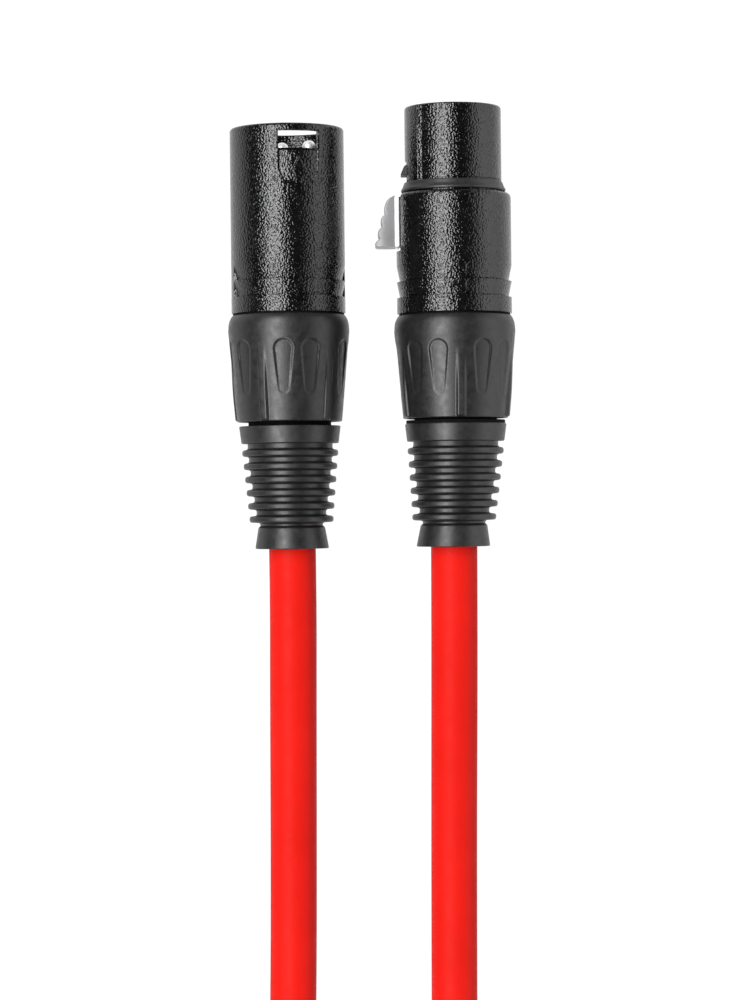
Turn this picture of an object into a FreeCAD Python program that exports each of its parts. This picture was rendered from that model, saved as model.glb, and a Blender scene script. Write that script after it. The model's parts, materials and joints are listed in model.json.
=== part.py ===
import FreeCAD, Part
import math
import os

# Three-metre balanced microphone cable: a male and a female three-pole connector lie side by
# side on a surface, and the cable between them is put away behind them as a tied hank.
# Millimetres. The surface is z = 0. Each connector is drawn along its own axis, local +Y
# towards the mating face, with y = 0 where the shell meets the clamping nut, and then placed.

os.makedirs("parts", exist_ok=True)
V = FreeCAD.Vector

# ---- driving dimensions ----------------------------------------------------------------
CABLE_D = 7.8
CABLE_R = CABLE_D / 2
PIN_R = 1.2
PIN_CIRCLE_R = 3.81
SOCKET_R = 1.25                 # inside radius of a female contact

MALE_X, MALE_YAW = -13.83, 0.65         # where each connector lies and how far it is turned
FEMALE_X, FEMALE_YAW = 13.83, 0.6
JUNCTION_Y = 2.35
NUT_R = 10.1
AXIS_Z = NUT_R

SHELL_R = 9.5                   # male shell
SHELL_FRONT = 30.8
CAVITY_R = 8.15
INSERT_FACE = 15.5
PIN_TIP = 29.0
WINDOW_ANGLE = 13               # about the axis, from +Z towards +X
WINDOW_WIDTH = 6.85
WINDOW_REAR, WINDOW_FRONT = 26.65, 29.55

BODY_R = 9.575                  # female shell
BODY_FRONT = 20.0
BODY_BORE_R = 8.0
NOSE_R = 8.05
NOSE_BORE_R = 7.2
NOSE_FRONT = 34.4
KEYWAY_ANGLE = -45
SOCKET_FRONT, SOCKET_LENGTH = 32.5, 16.5

REAR_BORE_R = 8.6               # both shells, where the nut's stub goes in
REAR_BORE_END = 9.2
FLANGE_R, FLANGE_REAR = 8.5, 7.2        # both inserts' rear flange
GRIP_STEP = 2.65                # grip wedges on both shells
GRIP_DEPTH = 0.53
GRIP_STRIP_WIDTH = 2.5

PIVOT_X, PIVOT_Y = -5.8, 31.0   # latch pivot
LEVER_TOP, LEVER_UNDER = 6.4, 5.2       # lever arm, measured from the axis
HOOK_TOP = 8.65

NUT_FRONT, NUT_REAR = -0.3, -17.6
NUT_BORE_R = 7.65
NUT_NECK_R = 7.2
STUB_R, STUB_FRONT = 8.5, 5.2
BOOT_NECK_R = 6.9
BOOT_BORE_R = CABLE_R + 0.15
BOOT_END = -39.1
RIB_PITCH, RIB_THICKNESS, RIB_COUNT = 2.2, 1.1, 6
JACKET_END = -2.0               # where the cable's jacket is stripped
CUP_REAR = 2.8                  # solder cups' open end

HANK_NEAR_Y = -178.0            # centre of the hank's near bends
HANK_STRAIGHT = 54.0
HANK_INNER_R = 3 * CABLE_D      # centre line of the inner column of turns
HANK_OUTER_R = HANK_INNER_R + CABLE_D
HANK_LAYERS = 5
TIE_THICKNESS, TIE_WIDTH = 0.9, 16.0

# The leads' routes: straight out of the boot, down to the surface, along it, and round to
# the hank's outer turns. Points chosen by hand.
MALE_ROUTE = [
    (-13.386, -36.75, 10.1), (-13.145, -58.0, 10.1), (-13.13, -86.0, 3.95), (-13.15, -120.0, 3.9),
    (-17.8, -135.4, 4.0), (-26.9, -148.4, 4.3), (-31.3, -163.6, 4.8), (-31.2, -178.0, 4.8),
]
FEMALE_ROUTE = [
    (14.239, -36.75, 10.1), (14.462, -58.0, 10.1), (14.1, -86.0, 3.95), (14.0, -118.0, 3.9),
    (17.7, -133.9, 5.0), (26.0, -147.5, 8.4), (31.0, -163.0, 11.9), (31.2, -178.0, 12.6),
]


# ---- helpers ---------------------------------------------------------------------------
def lathe(outline):
    """Solid of revolution about the Y axis, from its (radius, y) corners."""
    corners = [V(r, y, 0) for r, y in outline]
    face = Part.Face(Part.makePolygon(corners + corners[:1]))
    return face.revolve(V(0, 0, 0), V(0, 1, 0), 360)


def ring(r_in, r_out, y0, y1):
    return lathe([(r_in, y0), (r_out, y0), (r_out, y1), (r_in, y1)])


def rod(r, y0, y1, x=0.0, z=0.0):
    return Part.makeCylinder(r, y1 - y0, V(x, y0, z), V(0, 1, 0))


def block(x0, x1, y0, y1, z0, z1):
    return Part.makeBox(x1 - x0, y1 - y0, z1 - z0, V(x0, y0, z0))


def prism(outline, start, depth, across="z"):
    """Extrude a flat outline: (x, y) corners along +Z, or (z, y) corners along +X."""
    if across == "z":
        corners = [V(a, b, start) for a, b in outline]
        push = V(0, 0, depth)
    else:
        corners = [V(start, b, a) for a, b in outline]
        push = V(depth, 0, 0)
    return Part.Face(Part.makePolygon(corners + corners[:1])).extrude(push)


def turned(shape, angle):
    """A copy turned about the connector's axis; the angle runs from +Z towards +X."""
    copy = shape.copy()
    copy.rotate(V(0, 0, 0), V(0, 1, 0), angle)
    return copy


def around(angle, radius=PIN_CIRCLE_R):
    """The (x, z) of a point at this angle and distance from the axis."""
    a = math.radians(angle)
    return radius * math.sin(a), radius * math.cos(a)


def tube(points, radius):
    """Straight runs joined by tangent arcs, each as large as its two runs allow."""
    points = [V(*p) for p in points]
    edges, radii, length, at = [], [], 0.0, points[0]
    for before, here, after in zip(points, points[1:], points[2:]):
        back, on = (before - here), (after - here)
        trim = 0.45 * min(back.Length, on.Length)
        back.normalize()
        on.normalize()
        half_turn = (math.pi - back.getAngle(on)) / 2
        bend = trim / math.tan(half_turn)
        start, end = here + back * trim, here + on * trim
        middle = here + (back + on).normalize() * (bend / math.cos(half_turn) - bend)
        edges += [Part.LineSegment(at, start).toShape(), Part.Arc(start, middle, end).toShape()]
        length += (start - at).Length + 2 * half_turn * bend
        radii.append(round(bend, 1))
        at = end
    edges.append(Part.LineSegment(at, points[-1]).toShape())
    length += (points[-1] - at).Length
    section = Part.Wire(Part.makeCircle(radius, points[0], points[1] - points[0]))
    solid = Part.Wire(edges).makePipeShell([section], True, False)
    return solid, radii, length


# ---- pieces that both connectors have --------------------------------------------------
def grip_outline(r):
    """Outer corners of a shell's rear: a collar, then two saw-tooth grip wedges."""
    corners = [(r - 0.25, 0), (r, 0.25)]
    for tooth in (1, 2):
        corners += [(r, tooth * GRIP_STEP), (r - GRIP_DEPTH, tooth * GRIP_STEP)]
    return corners + [(r, 3 * GRIP_STEP)]


def grip_strips(r, angle):
    """Plain strips on both sides of the shell that interrupt the wedges."""
    band = ring(r - GRIP_DEPTH - 0.1, r, GRIP_STEP, 3 * GRIP_STEP)
    half = GRIP_STRIP_WIDTH / 2
    return [turned(band.common(block(-half, half, 0, 10, 0, 12)), angle + side) for side in (-90, 90)]


def nut(rib_angle):
    """Clamping nut: a ringed stub in front, a tapered grip with ribs and drop-shaped hollows."""
    front_r, rear_r = NUT_R, 8.75
    grip = [(front_r - 0.75, NUT_FRONT), (front_r - 0.3, NUT_FRONT - 0.15),
            (front_r - 0.07, NUT_FRONT - 0.45), (front_r, NUT_FRONT - 0.9), (front_r, -3.0),
            (rear_r, NUT_REAR + 0.3), (rear_r - 0.2, NUT_REAR)]
    stub = [(NUT_BORE_R, STUB_FRONT), (STUB_R - 0.3, STUB_FRONT)]
    for k in range(3):
        y = STUB_FRONT - 0.3 - 1.5 * k
        stub += [(STUB_R, y), (STUB_R, y - 0.6), (STUB_R - 0.45, y - 0.9), (STUB_R - 0.45, y - 1.2)]
    stub += [(STUB_R, 0.4), (STUB_R, NUT_FRONT)]
    inside = [(NUT_NECK_R, NUT_REAR), (NUT_NECK_R, NUT_REAR + 1.3), (NUT_BORE_R, NUT_REAR + 1.3)]
    body = lathe(stub + grip + inside)

    def skin_r(y):
        return front_r + (rear_r - front_r) * (-3.0 - y) / (-3.0 - NUT_REAR - 0.3)

    floor = lathe([(0, 0), (skin_r(0) - 0.45, 0), (skin_r(NUT_REAR) - 0.3, NUT_REAR), (0, NUT_REAR)])
    hollow = drop(1.6, -6.2, 1.0, -12.4).cut(floor)
    rib_ring = lathe([(8.0, -5.0), (skin_r(-5.0), -5.0), (9.4, NUT_REAR + 0.5),
                      (9.2, NUT_REAR + 0.1), (8.0, NUT_REAR + 0.1)])
    rib = rib_ring.common(block(-0.65, 0.65, -18, 0, 0, 12))
    ribs, hollows = [], []
    for k in range(5):
        ribs.append(turned(rib, rib_angle + 72 * k))
        hollows += [turned(hollow, rib_angle + 36 + 72 * k + side) for side in (-13.5, 13.5)]
    return body.cut(Part.makeCompound(hollows)).fuse(ribs).removeSplitter()


def drop(r_top, y_top, r_tail, y_tail):
    """A drop-shaped prism on the +Z side: two round ends joined by their tangents."""
    lean = (r_top - r_tail) / (y_top - y_tail)
    side = math.sqrt(1 - lean * lean)
    z = 7.8
    top_r, top_l = V(r_top * side, y_top - r_top * lean, z), V(-r_top * side, y_top - r_top * lean, z)
    tail_r, tail_l = V(r_tail * side, y_tail - r_tail * lean, z), V(-r_tail * side, y_tail - r_tail * lean, z)
    edges = [
        Part.Arc(top_r, V(0, y_top + r_top, z), top_l), Part.LineSegment(top_l, tail_l),
        Part.Arc(tail_l, V(0, y_tail - r_tail, z), tail_r), Part.LineSegment(tail_r, top_r),
    ]
    return Part.Face(Part.Wire([e.toShape() for e in edges])).extrude(V(0, 0, 4))


def boot():
    """Strain relief: a flange held in the nut, a collar, six thinning ribs and a foot."""
    rib_radii = [8.0, 7.8, 7.6, 7.4, 7.2, 7.0]
    core_radii = [7.08, 6.9, 6.65, 6.4, 6.15, 6.0, 5.3]
    outline = [(BOOT_BORE_R, BOOT_END), (5.95, BOOT_END), (6.18, BOOT_END + 0.3), (5.6, -35.8)]
    outline.append((core_radii[RIB_COUNT], -35.5))
    half = RIB_THICKNESS / 2
    for k in reversed(range(RIB_COUNT)):
        y, r = -23.2 - RIB_PITCH * k, rib_radii[k]
        outline += [(core_radii[k + 1], y - half), (r - 0.3, y - half), (r - 0.06, y - half + 0.18),
                    (r, y), (r - 0.06, y + half - 0.18), (r - 0.3, y + half), (core_radii[k], y + half)]
    outline += [(core_radii[0], -21.6), (8.2, -21.6), (8.36, -21.4), (8.62, -19.0), (8.4, -18.7),
                (BOOT_NECK_R, -18.7), (BOOT_NECK_R, -16.0), (7.35, -16.0), (7.35, -13.4),
                (6.0, -13.0), (5.6, -13.0), (BOOT_BORE_R, -14.6)]
    return lathe(outline)


def chuck():
    """Slotted clamp round the jacket, with a cage forward over the solder joints."""
    body = lathe([(CABLE_R + 0.03, -12.5), (5.4, -12.5), (6.9, -9.0), (6.9, -1.6), (7.3, -1.0),
                  (7.3, FLANGE_REAR), (6.4, FLANGE_REAR), (6.4, -0.9), (CABLE_R + 0.03, -3.0)])
    slot = block(-0.4, 0.4, -13, -4.5, 0, 8)
    opening = block(-2.2, 2.2, 0.6, 5.8, 5.5, 8)
    cuts = [turned(slot, 90 * k) for k in range(4)] + [turned(opening, 45 + 90 * k) for k in range(4)]
    return body.cut(Part.makeCompound(cuts))


def wire(angle):
    """One insulated conductor from the stripped jacket into its solder cup."""
    (x0, z0), (x1, z1) = around(angle, 1.5), around(angle)
    sleeve, _, _ = tube([(x0, JACKET_END, z0), (x0, -1.0, z0), (x1, 1.6, z1), (x1, CUP_REAR, z1)], 0.7)
    return sleeve.fuse(rod(0.5, CUP_REAR - 0.2, CUP_REAR + 2.5, x1, z1)).removeSplitter()


def solder_cup(x, z):
    """Rear of a contact: a cup with half its side cut away."""
    cup = rod(1.5, CUP_REAR, FLANGE_REAR, x, z).cut(rod(1.0, CUP_REAR - 1, CUP_REAR + 3.4, x, z))
    away = V(x, 0, z)
    away.normalize()
    side = block(-3, 3, CUP_REAR - 1, CUP_REAR + 2.6, 0.5, 3)
    side.rotate(V(0, 0, 0), V(0, 1, 0), math.degrees(math.atan2(away.x, away.z)))
    side.translate(V(x, 0, z))
    return cup.cut(side)


def ground_spring(insert_r, angle):
    """Bowed strip that joins the shell to the ground contact, and the pocket it lies in."""
    foot, crown = insert_r - 1.1, insert_r - 0.1
    strip = prism([(foot, 10.2), (foot + 0.25, 10.2), (foot + 0.25, 11.0), (crown, 12.4), (crown, 12.9),
                   (foot + 0.25, 14.8), (foot, 14.8), (crown - 0.3, 12.65), (foot, 11.1)],
                  -1.1, 2.2, across="x")
    pocket = block(-1.4, 1.4, 10.0, 15.0, foot, insert_r + 1)
    return turned(strip, angle), turned(pocket, angle)


# ---- male connector --------------------------------------------------------------------
def male_shell():
    outline = grip_outline(SHELL_R) + [
        (SHELL_R, SHELL_FRONT - 0.35), (SHELL_R - 0.1, SHELL_FRONT - 0.1), (SHELL_R - 0.3, SHELL_FRONT),
        (CAVITY_R + 0.25, SHELL_FRONT), (CAVITY_R, SHELL_FRONT - 0.25), (CAVITY_R, REAR_BORE_END),
        (REAR_BORE_R, REAR_BORE_END), (REAR_BORE_R, 0)]
    shell = lathe(outline).fuse(grip_strips(SHELL_R, WINDOW_ANGLE))
    half = WINDOW_WIDTH / 2
    window = block(-half, half, WINDOW_REAR, WINDOW_FRONT, 6, 12)
    window = window.makeFillet(0.3, [e for e in window.Edges if abs(e.tangentAt(0).z) > 0.9])
    recess = prism([(-half, WINDOW_REAR - 0.4), (-half, 23.0), (-half + 0.35, 22.1), (-half + 1.0, 21.3),
                    (-1.4, 20.8), (1.4, 20.8), (half - 1.0, 21.3), (half - 0.35, 22.1), (half, 23.0),
                    (half, WINDOW_REAR - 0.4)], 6, 5).cut(rod(SHELL_R - 0.35, 15, 31))
    arrow = prism([(0, 25.2), (1.75, 21.6), (1.15, 21.6), (0, 24.0), (-1.15, 21.6), (-1.75, 21.6)], 6, 5)
    arrow = arrow.common(ring(SHELL_R - 0.5, SHELL_R - 0.12, 15, 31))
    key = block(-0.6, 0.6, 17, 29.3, CAVITY_R - 0.75, CAVITY_R + 0.4)
    shell = shell.cut(Part.makeCompound([turned(window, WINDOW_ANGLE), turned(recess, WINDOW_ANGLE)]))
    shell = shell.fuse([turned(arrow, WINDOW_ANGLE), turned(key, WINDOW_ANGLE + KEYWAY_ANGLE)])
    return shell.removeSplitter()


def male_pin(angle):
    x, z = around(angle)
    front = PIN_TIP - PIN_R
    pin = rod(PIN_R, INSERT_FACE, front, x, z).fuse(
        [Part.makeSphere(PIN_R, V(x, front, z)), rod(1.4, FLANGE_REAR, INSERT_FACE, x, z), solder_cup(x, z)])
    return pin.removeSplitter()


def male_insert(pin_angles, pocket):
    body = ring(0, 8.1, REAR_BORE_END - 0.1, INSERT_FACE).fuse(rod(FLANGE_R, FLANGE_REAR, REAR_BORE_END - 0.1))
    holes = [rod(1.42, 0, 20, *around(angle)) for angle in pin_angles]
    return body.cut(Part.makeCompound(holes + [pocket])).removeSplitter()


def male_connector():
    pin_angles = [WINDOW_ANGLE - 90, WINDOW_ANGLE + 90, WINDOW_ANGLE + 180]
    spring, pocket = ground_spring(8.1, WINDOW_ANGLE + 135)
    pieces = {"male_shell": male_shell(), "male_insert": male_insert(pin_angles, pocket),
              "male_ground_spring": spring, "male_nut": nut(45.5)}
    for number, angle in enumerate(pin_angles, 1):
        pieces[f"male_pin_{number}"] = male_pin(angle)
    return add_rear(pieces, "male", pin_angles)


# ---- female connector ------------------------------------------------------------------
def female_shell():
    outline = grip_outline(BODY_R) + [
        (BODY_R, BODY_FRONT - 1.0), (BODY_R - 0.15, BODY_FRONT - 0.5), (BODY_R - 0.5, BODY_FRONT - 0.15),
        (BODY_R - 0.95, BODY_FRONT), (NOSE_R, BODY_FRONT), (NOSE_R, NOSE_FRONT - 0.4),
        (NOSE_R - 0.12, NOSE_FRONT - 0.12), (NOSE_R - 0.4, NOSE_FRONT), (NOSE_BORE_R + 0.2, NOSE_FRONT),
        (NOSE_BORE_R, NOSE_FRONT - 0.2), (NOSE_BORE_R, BODY_FRONT + 0.6), (BODY_BORE_R, BODY_FRONT + 0.6),
        (BODY_BORE_R, REAR_BORE_END), (REAR_BORE_R, REAR_BORE_END), (REAR_BORE_R, 0)]
    shell = lathe(outline).fuse(grip_strips(BODY_R, -90 + 3.5))
    keyway = turned(block(-0.7, 0.7, 21.9, 36, NOSE_R - 0.7, 10), KEYWAY_ANGLE)
    pad_slot = block(-12, -6.9, 10.4, BODY_FRONT + 0.01, -3.55, 3.55)
    hook_slot = block(-12, -6.5, 21.95, 25.5, -2.25, 2.25)
    return shell.cut(Part.makeCompound([keyway, pad_slot, hook_slot])).removeSplitter()


def nose_ring():
    r = NOSE_R + 0.05
    return lathe([(r, 20.25), (8.78, 20.25), (8.87, 20.42), (8.35, 21.2), (8.2, 21.75), (r, 21.75)])


def female_socket(angle):
    x, z = around(angle)
    rear = SOCKET_FRONT - SOCKET_LENGTH - 2
    socket = rod(1.9, rear, SOCKET_FRONT, x, z).fuse([rod(1.4, FLANGE_REAR, rear, x, z), solder_cup(x, z)])
    return socket.cut(rod(SOCKET_R, SOCKET_FRONT - SOCKET_LENGTH, 40, x, z)).removeSplitter()


def female_insert(socket_angles, pocket):
    body = rod(FLANGE_R, FLANGE_REAR, 9.1).fuse([rod(7.9, 9.1, BODY_FRONT + 0.5),
                                                 rod(7.1, BODY_FRONT + 0.5, NOSE_FRONT - 0.5)])
    cuts = [pocket, block(-9, -2.6, 10.0, 23.0, -3.55, 3.55), block(-9, -4.0, 23.0, 32.2, -2.95, 2.95)]
    cuts.append(Part.makeCylinder(0.52, 7.2, V(PIVOT_X, PIVOT_Y, -3.6), V(0, 0, 1)))
    for angle in socket_angles:
        x, z = around(angle)
        rear = SOCKET_FRONT - SOCKET_LENGTH - 2
        cuts += [rod(1.42, 0, rear, x, z), rod(1.92, rear, SOCKET_FRONT + 0.1, x, z), rod(1.5, 32, 40, x, z)]
    return body.cut(Part.makeCompound(cuts)).removeSplitter()


def latch_lever():
    """Thumb lever on the -X side: pivot barrel, arm, hook and a stepped pad."""
    arm = prism([(-LEVER_UNDER, PIVOT_Y), (-LEVER_UNDER, 11.6), (-LEVER_UNDER - 0.4, 11.1),
                 (-LEVER_TOP, 11.1), (-LEVER_TOP, PIVOT_Y)], -2.6, 5.2)
    hook = prism([(-LEVER_TOP + 0.2, 22.7), (-HOOK_TOP, 22.7), (-HOOK_TOP, 23.3), (-7.9, 25.0),
                  (-LEVER_TOP + 0.2, 25.2)], -1.9, 3.8)
    steps = [(19.0, 1.4), (18.4, 1.8), (17.6, 1.85), (17.2, 1.7), (16.4, 2.3), (15.8, 2.45), (15.3, 2.3),
             (14.9, 2.15), (14.3, 2.7), (13.7, 2.85), (13.2, 2.7), (12.8, 2.55), (12.2, 3.3), (11.6, 3.45)]
    pad_outline = [(-LEVER_TOP + 0.2, 11.1), (-LEVER_TOP + 0.2, 19.6), (-BODY_R - 0.5, 19.6)]
    pad_outline += [(-BODY_R - rise, y) for y, rise in steps] + [(-BODY_R - 3.1, 11.1)]
    pad = prism(pad_outline, -3.25, 6.5)
    barrel = Part.makeCylinder(0.75, 4.4, V(PIVOT_X, PIVOT_Y, -2.2), V(0, 0, 1))
    narrow = prism([(-LEVER_TOP - 0.1, PIVOT_Y - 1.2), (-LEVER_UNDER + 0.1, PIVOT_Y - 1.2),
                    (-LEVER_UNDER + 0.1, PIVOT_Y + 1), (-LEVER_TOP - 0.1, PIVOT_Y + 1)], -2.6, 0.4)
    other = narrow.copy()
    other.translate(V(0, 0, 4.8))
    lever = arm.fuse([hook, pad]).cut(Part.makeCompound([narrow, other])).fuse(barrel)
    return lever.cut(Part.makeCylinder(0.55, 8, V(PIVOT_X, PIVOT_Y, -4), V(0, 0, 1))).removeSplitter()


def latch_spring():
    """Leaf spring between the insert's channel and the lever's underside."""
    return prism([(-2.6, 21.2), (-2.6, 17.6), (-4.8, 12.9), (-4.6, 12.3), (-4.85, 12.25), (-5.15, 12.9),
                  (-2.85, 17.7), (-2.85, 21.2)], -1.6, 3.2)


def female_connector():
    socket_angles = [0, 180, 90]
    spring, pocket = ground_spring(7.9, 135)
    pieces = {"female_shell": female_shell(), "nose_ring": nose_ring(),
              "female_insert": female_insert(socket_angles, pocket), "female_ground_spring": spring,
              "latch_lever": latch_lever(), "latch_spring": latch_spring(), "female_nut": nut(4.5),
              "latch_pin": Part.makeCylinder(0.5, 6.8, V(PIVOT_X, PIVOT_Y, -3.4), V(0, 0, 1))}
    for number, angle in enumerate(socket_angles, 1):
        pieces[f"female_socket_{number}"] = female_socket(angle)
    return add_rear(pieces, "female", socket_angles)


def add_rear(pieces, side, contact_angles):
    """Add what both connectors have behind their contacts."""
    pieces[f"{side}_boot"] = boot()
    pieces[f"{side}_chuck"] = chuck()
    pieces[f"{side}_cable_end"] = rod(CABLE_R, BOOT_END, JACKET_END)
    for name, angle in zip(("hot", "cold", "screen"), contact_angles):
        pieces[f"{side}_wire_{name}"] = wire(angle)
    return pieces


# ---- cable -----------------------------------------------------------------------------
def stadium(radius, z0, z1):
    """Upright prism: straight sides along Y between two round ends."""
    far_y = HANK_NEAR_Y - HANK_STRAIGHT
    corners = [V(radius, HANK_NEAR_Y, z0), V(-radius, HANK_NEAR_Y, z0), V(-radius, far_y, z0), V(radius, far_y, z0)]
    edges = [Part.Arc(corners[0], V(0, HANK_NEAR_Y + radius, z0), corners[1]),
             Part.LineSegment(corners[1], corners[2]),
             Part.Arc(corners[2], V(0, far_y - radius, z0), corners[3]),
             Part.LineSegment(corners[3], corners[0])]
    return Part.Face(Part.Wire([e.toShape() for e in edges])).extrude(V(0, 0, z1 - z0))


def cable_hank():
    """Outer shape of the stacked turns, two columns wide, with the open middle."""
    z0, z1 = TIE_THICKNESS, TIE_THICKNESS + HANK_LAYERS * CABLE_D
    outer_r, inner_r = HANK_OUTER_R + CABLE_R, HANK_INNER_R - CABLE_R
    solid = stadium(outer_r, z0, z1).cut(stadium(inner_r, z0 - 1, z1 + 1))
    rims = [e for e in solid.Edges if abs(e.BoundBox.ZMax - e.BoundBox.ZMin) < 0.01]
    return solid.makeFillet(3.0, rims)


def rounded_bar(x0, x1, z0, z1, y0, y1, corner):
    bar = block(x0, x1, y0, y1, z0, z1)
    return bar.makeFillet(corner, [e for e in bar.Edges if e.BoundBox.YLength > 1])


def tie(side):
    """Strap closed round one side of the hank; side is -1 or 1."""
    inner, outer = sorted((side * (HANK_INNER_R - CABLE_R), side * (HANK_OUTER_R + CABLE_R)))
    top = TIE_THICKNESS + HANK_LAYERS * CABLE_D
    middle = HANK_NEAR_Y - HANK_STRAIGHT / 2
    y0, y1 = middle - TIE_WIDTH / 2, middle + TIE_WIDTH / 2
    t = TIE_THICKNESS
    strap = rounded_bar(inner - t, outer + t, 0, top + t, y0, y1, 3.0 + t)
    return strap.cut(rounded_bar(inner, outer, t, top, y0 - 1, y1 + 1, 3.0))


def lead(name, route):
    solid, radii, length = tube(route, CABLE_R)
    expected = math.pi * CABLE_R ** 2 * length
    print(f"{name}: arc radii {radii}, length {length:.1f}, volume / expected {solid.Volume / expected:.4f}")
    return solid


# ---- put everything in its place and write it ------------------------------------------
def placed(shape, x, yaw):
    copy = shape.copy()
    copy.rotate(V(0, 0, 0), V(0, 0, 1), yaw)
    copy.translate(V(x, JUNCTION_Y, AXIS_Z))
    return copy


def main():
    parts = {name: placed(s, MALE_X, MALE_YAW) for name, s in male_connector().items()}
    parts.update({name: placed(s, FEMALE_X, FEMALE_YAW) for name, s in female_connector().items()})
    parts["male_lead"] = lead("male_lead", MALE_ROUTE)
    parts["female_lead"] = lead("female_lead", FEMALE_ROUTE)
    parts["cable_hank"] = cable_hank()
    parts["tie_left"] = tie(-1)
    parts["tie_right"] = tie(1)

    cord = ("male_lead", "female_lead", "cable_hank", "tie_left", "tie_right")
    box = FreeCAD.BoundBox()
    for name, shape in parts.items():
        if len(shape.Solids) != 1 or not shape.isValid():
            print(f"{name}: {len(shape.Solids)} solids, valid {shape.isValid()}")
        if name not in cord:
            box.add(shape.BoundBox)
        shape.Solids[0].exportStep(f"parts/{name}.step")
    print(f"{len(parts)} nodes; connectors' box centre {box.Center.x:.3f}, {box.Center.y:.3f}, lowest {box.ZMin:.3f}")


main()
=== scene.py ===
import json
import math

import bmesh
import bpy
from mathutils import Matrix, Vector


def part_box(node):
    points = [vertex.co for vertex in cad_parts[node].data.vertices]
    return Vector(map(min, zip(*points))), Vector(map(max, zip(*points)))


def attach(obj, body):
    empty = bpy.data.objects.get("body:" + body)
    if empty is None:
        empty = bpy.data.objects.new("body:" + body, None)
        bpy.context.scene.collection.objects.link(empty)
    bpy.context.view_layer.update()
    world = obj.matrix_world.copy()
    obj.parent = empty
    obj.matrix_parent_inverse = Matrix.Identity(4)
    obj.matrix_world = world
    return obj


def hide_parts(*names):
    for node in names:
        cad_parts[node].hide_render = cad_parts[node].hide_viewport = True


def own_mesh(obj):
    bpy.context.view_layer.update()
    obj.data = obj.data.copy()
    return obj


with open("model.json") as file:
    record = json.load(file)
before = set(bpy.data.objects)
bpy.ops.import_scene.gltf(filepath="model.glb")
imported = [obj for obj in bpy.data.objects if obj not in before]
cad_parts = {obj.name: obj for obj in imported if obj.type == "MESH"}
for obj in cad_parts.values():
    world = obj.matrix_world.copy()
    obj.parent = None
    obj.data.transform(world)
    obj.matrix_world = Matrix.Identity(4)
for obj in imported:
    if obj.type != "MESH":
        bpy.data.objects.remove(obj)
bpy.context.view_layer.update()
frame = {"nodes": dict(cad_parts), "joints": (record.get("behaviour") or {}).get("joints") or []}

MM = 0.001
JOINTS = {joint["name"]: joint for joint in frame["joints"]}
NODES = frame["nodes"]
ROOT = "cable_body"

# ---- sizes shared with the CAD model, in millimetres along each connector's own axis ----
CABLE_D = 7.8
SHELL_R, SHELL_FRONT, CAVITY_R = 9.5, 30.8, 8.15
WINDOW_ANGLE, WINDOW_HALF, WINDOW_REAR, WINDOW_FRONT = math.radians(13.8), 3.35, 26.65, 29.6
BODY_R, BODY_FRONT, BODY_BORE_R = 9.575, 20.0, 8.0
NOSE_R, NOSE_BORE_R, NOSE_FRONT = 8.05, 7.2, 34.4
KEYWAY_ANGLE = math.radians(-45)
STRIP_ANGLE = math.radians(3.0)
REAR_BORE_R, REAR_BORE_END = 8.6, 9.2
GRIP_STEP, GRIP_DEPTH, STRIP_HALF = 2.65, 0.53, 1.25
SHIELD_FOOT, SHIELD_FOOT_HALF, SHIELD_DEPTH = 20.8, 2.28, 0.24
ARROW_TIP, ARROW_NECK, ARROW_FOOT, ARROW_RISE = 25.15, 22.5, 21.0, 0.30
NUT_R, NUT_TAPER_FROM, NUT_REAR_R, NUT_FRONT = 10.1, -3.0, 8.75, -0.3
NUT_REAR = {"male": -18.0, "female": -17.4}
NUT_BORE_R, NUT_NECK_R, STUB_R, STUB_FRONT, PITCH = 7.65, 7.2, 8.5, 5.2, 1.5
BOOT_END, BOOT_BORE_R, CABLE_END_REAR = -39.1, 4.05, -38.0
BOOT_BEND = {"male": 0.17, "female": -0.6}      # sideways, at the foot
BOOT_SHIFT = {"male": 0.0, "female": 0.4}       # forwards, behind the nut
NECK_R = {"male": 6.9, "female": 8.25}          # of the step between the nut and the collar
PIN_R, PIN_CIRCLE_R, PIN_TIP, INSERT_FACE, PIN_REAR = 1.2, 3.81, 29.0, 15.5, 7.2
HANK_NEAR_Y, HANK_STRAIGHT, HANK_LAYERS = -178.0, 54.0, 5
HANK_RADII = (3 * CABLE_D, 4 * CABLE_D)
TIE_THICKNESS, TIE_WIDTH, LAP_FOOT, LAP_TOP = 0.9, 16.0, 10.0, 30.0
RIB_ANGLE = {"male": 45.5, "female": 4.5}       # of each nut's first rib, in degrees
RIBS_STEP = math.radians(72)
THREAD_DEPTH, RIB_HEIGHT, DROP_DEPTH = 0.45, 0.38, 0.24
FLOOR_HALF_M = 6.0
LENS_MM, SENSOR_MM = 108, 36
CAMERA_AT = (0.57, -28.65, 510.1)


# ---- helpers ---------------------------------------------------------------------------
def connector_place(side):
    """Matrix from a connector's own axes (metres) to the row frame, read from its nut's joint."""
    joint = JOINTS[side + "_nut_turn"]
    back = Vector(joint["axis"]).normalized()
    junction = Vector(joint["pos_m"]) - back * 9 * MM
    yaw = math.atan2(back.x, -back.y)
    return Matrix.Translation(junction) @ Matrix.Rotation(yaw, 4, "Z")


PLACE = {side: connector_place(side) for side in ("male", "female")}


def add_object(name, data):
    """A new object in the scene."""
    made = bpy.data.objects.new(name, data)
    bpy.context.scene.collection.objects.link(made)
    return made


def smooth_step(x):
    x = min(1.0, max(0.0, x))
    return x * x * (3 - 2 * x)


def angle_between(a, b):
    return (a - b + math.pi) % (2 * math.pi) - math.pi


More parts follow.
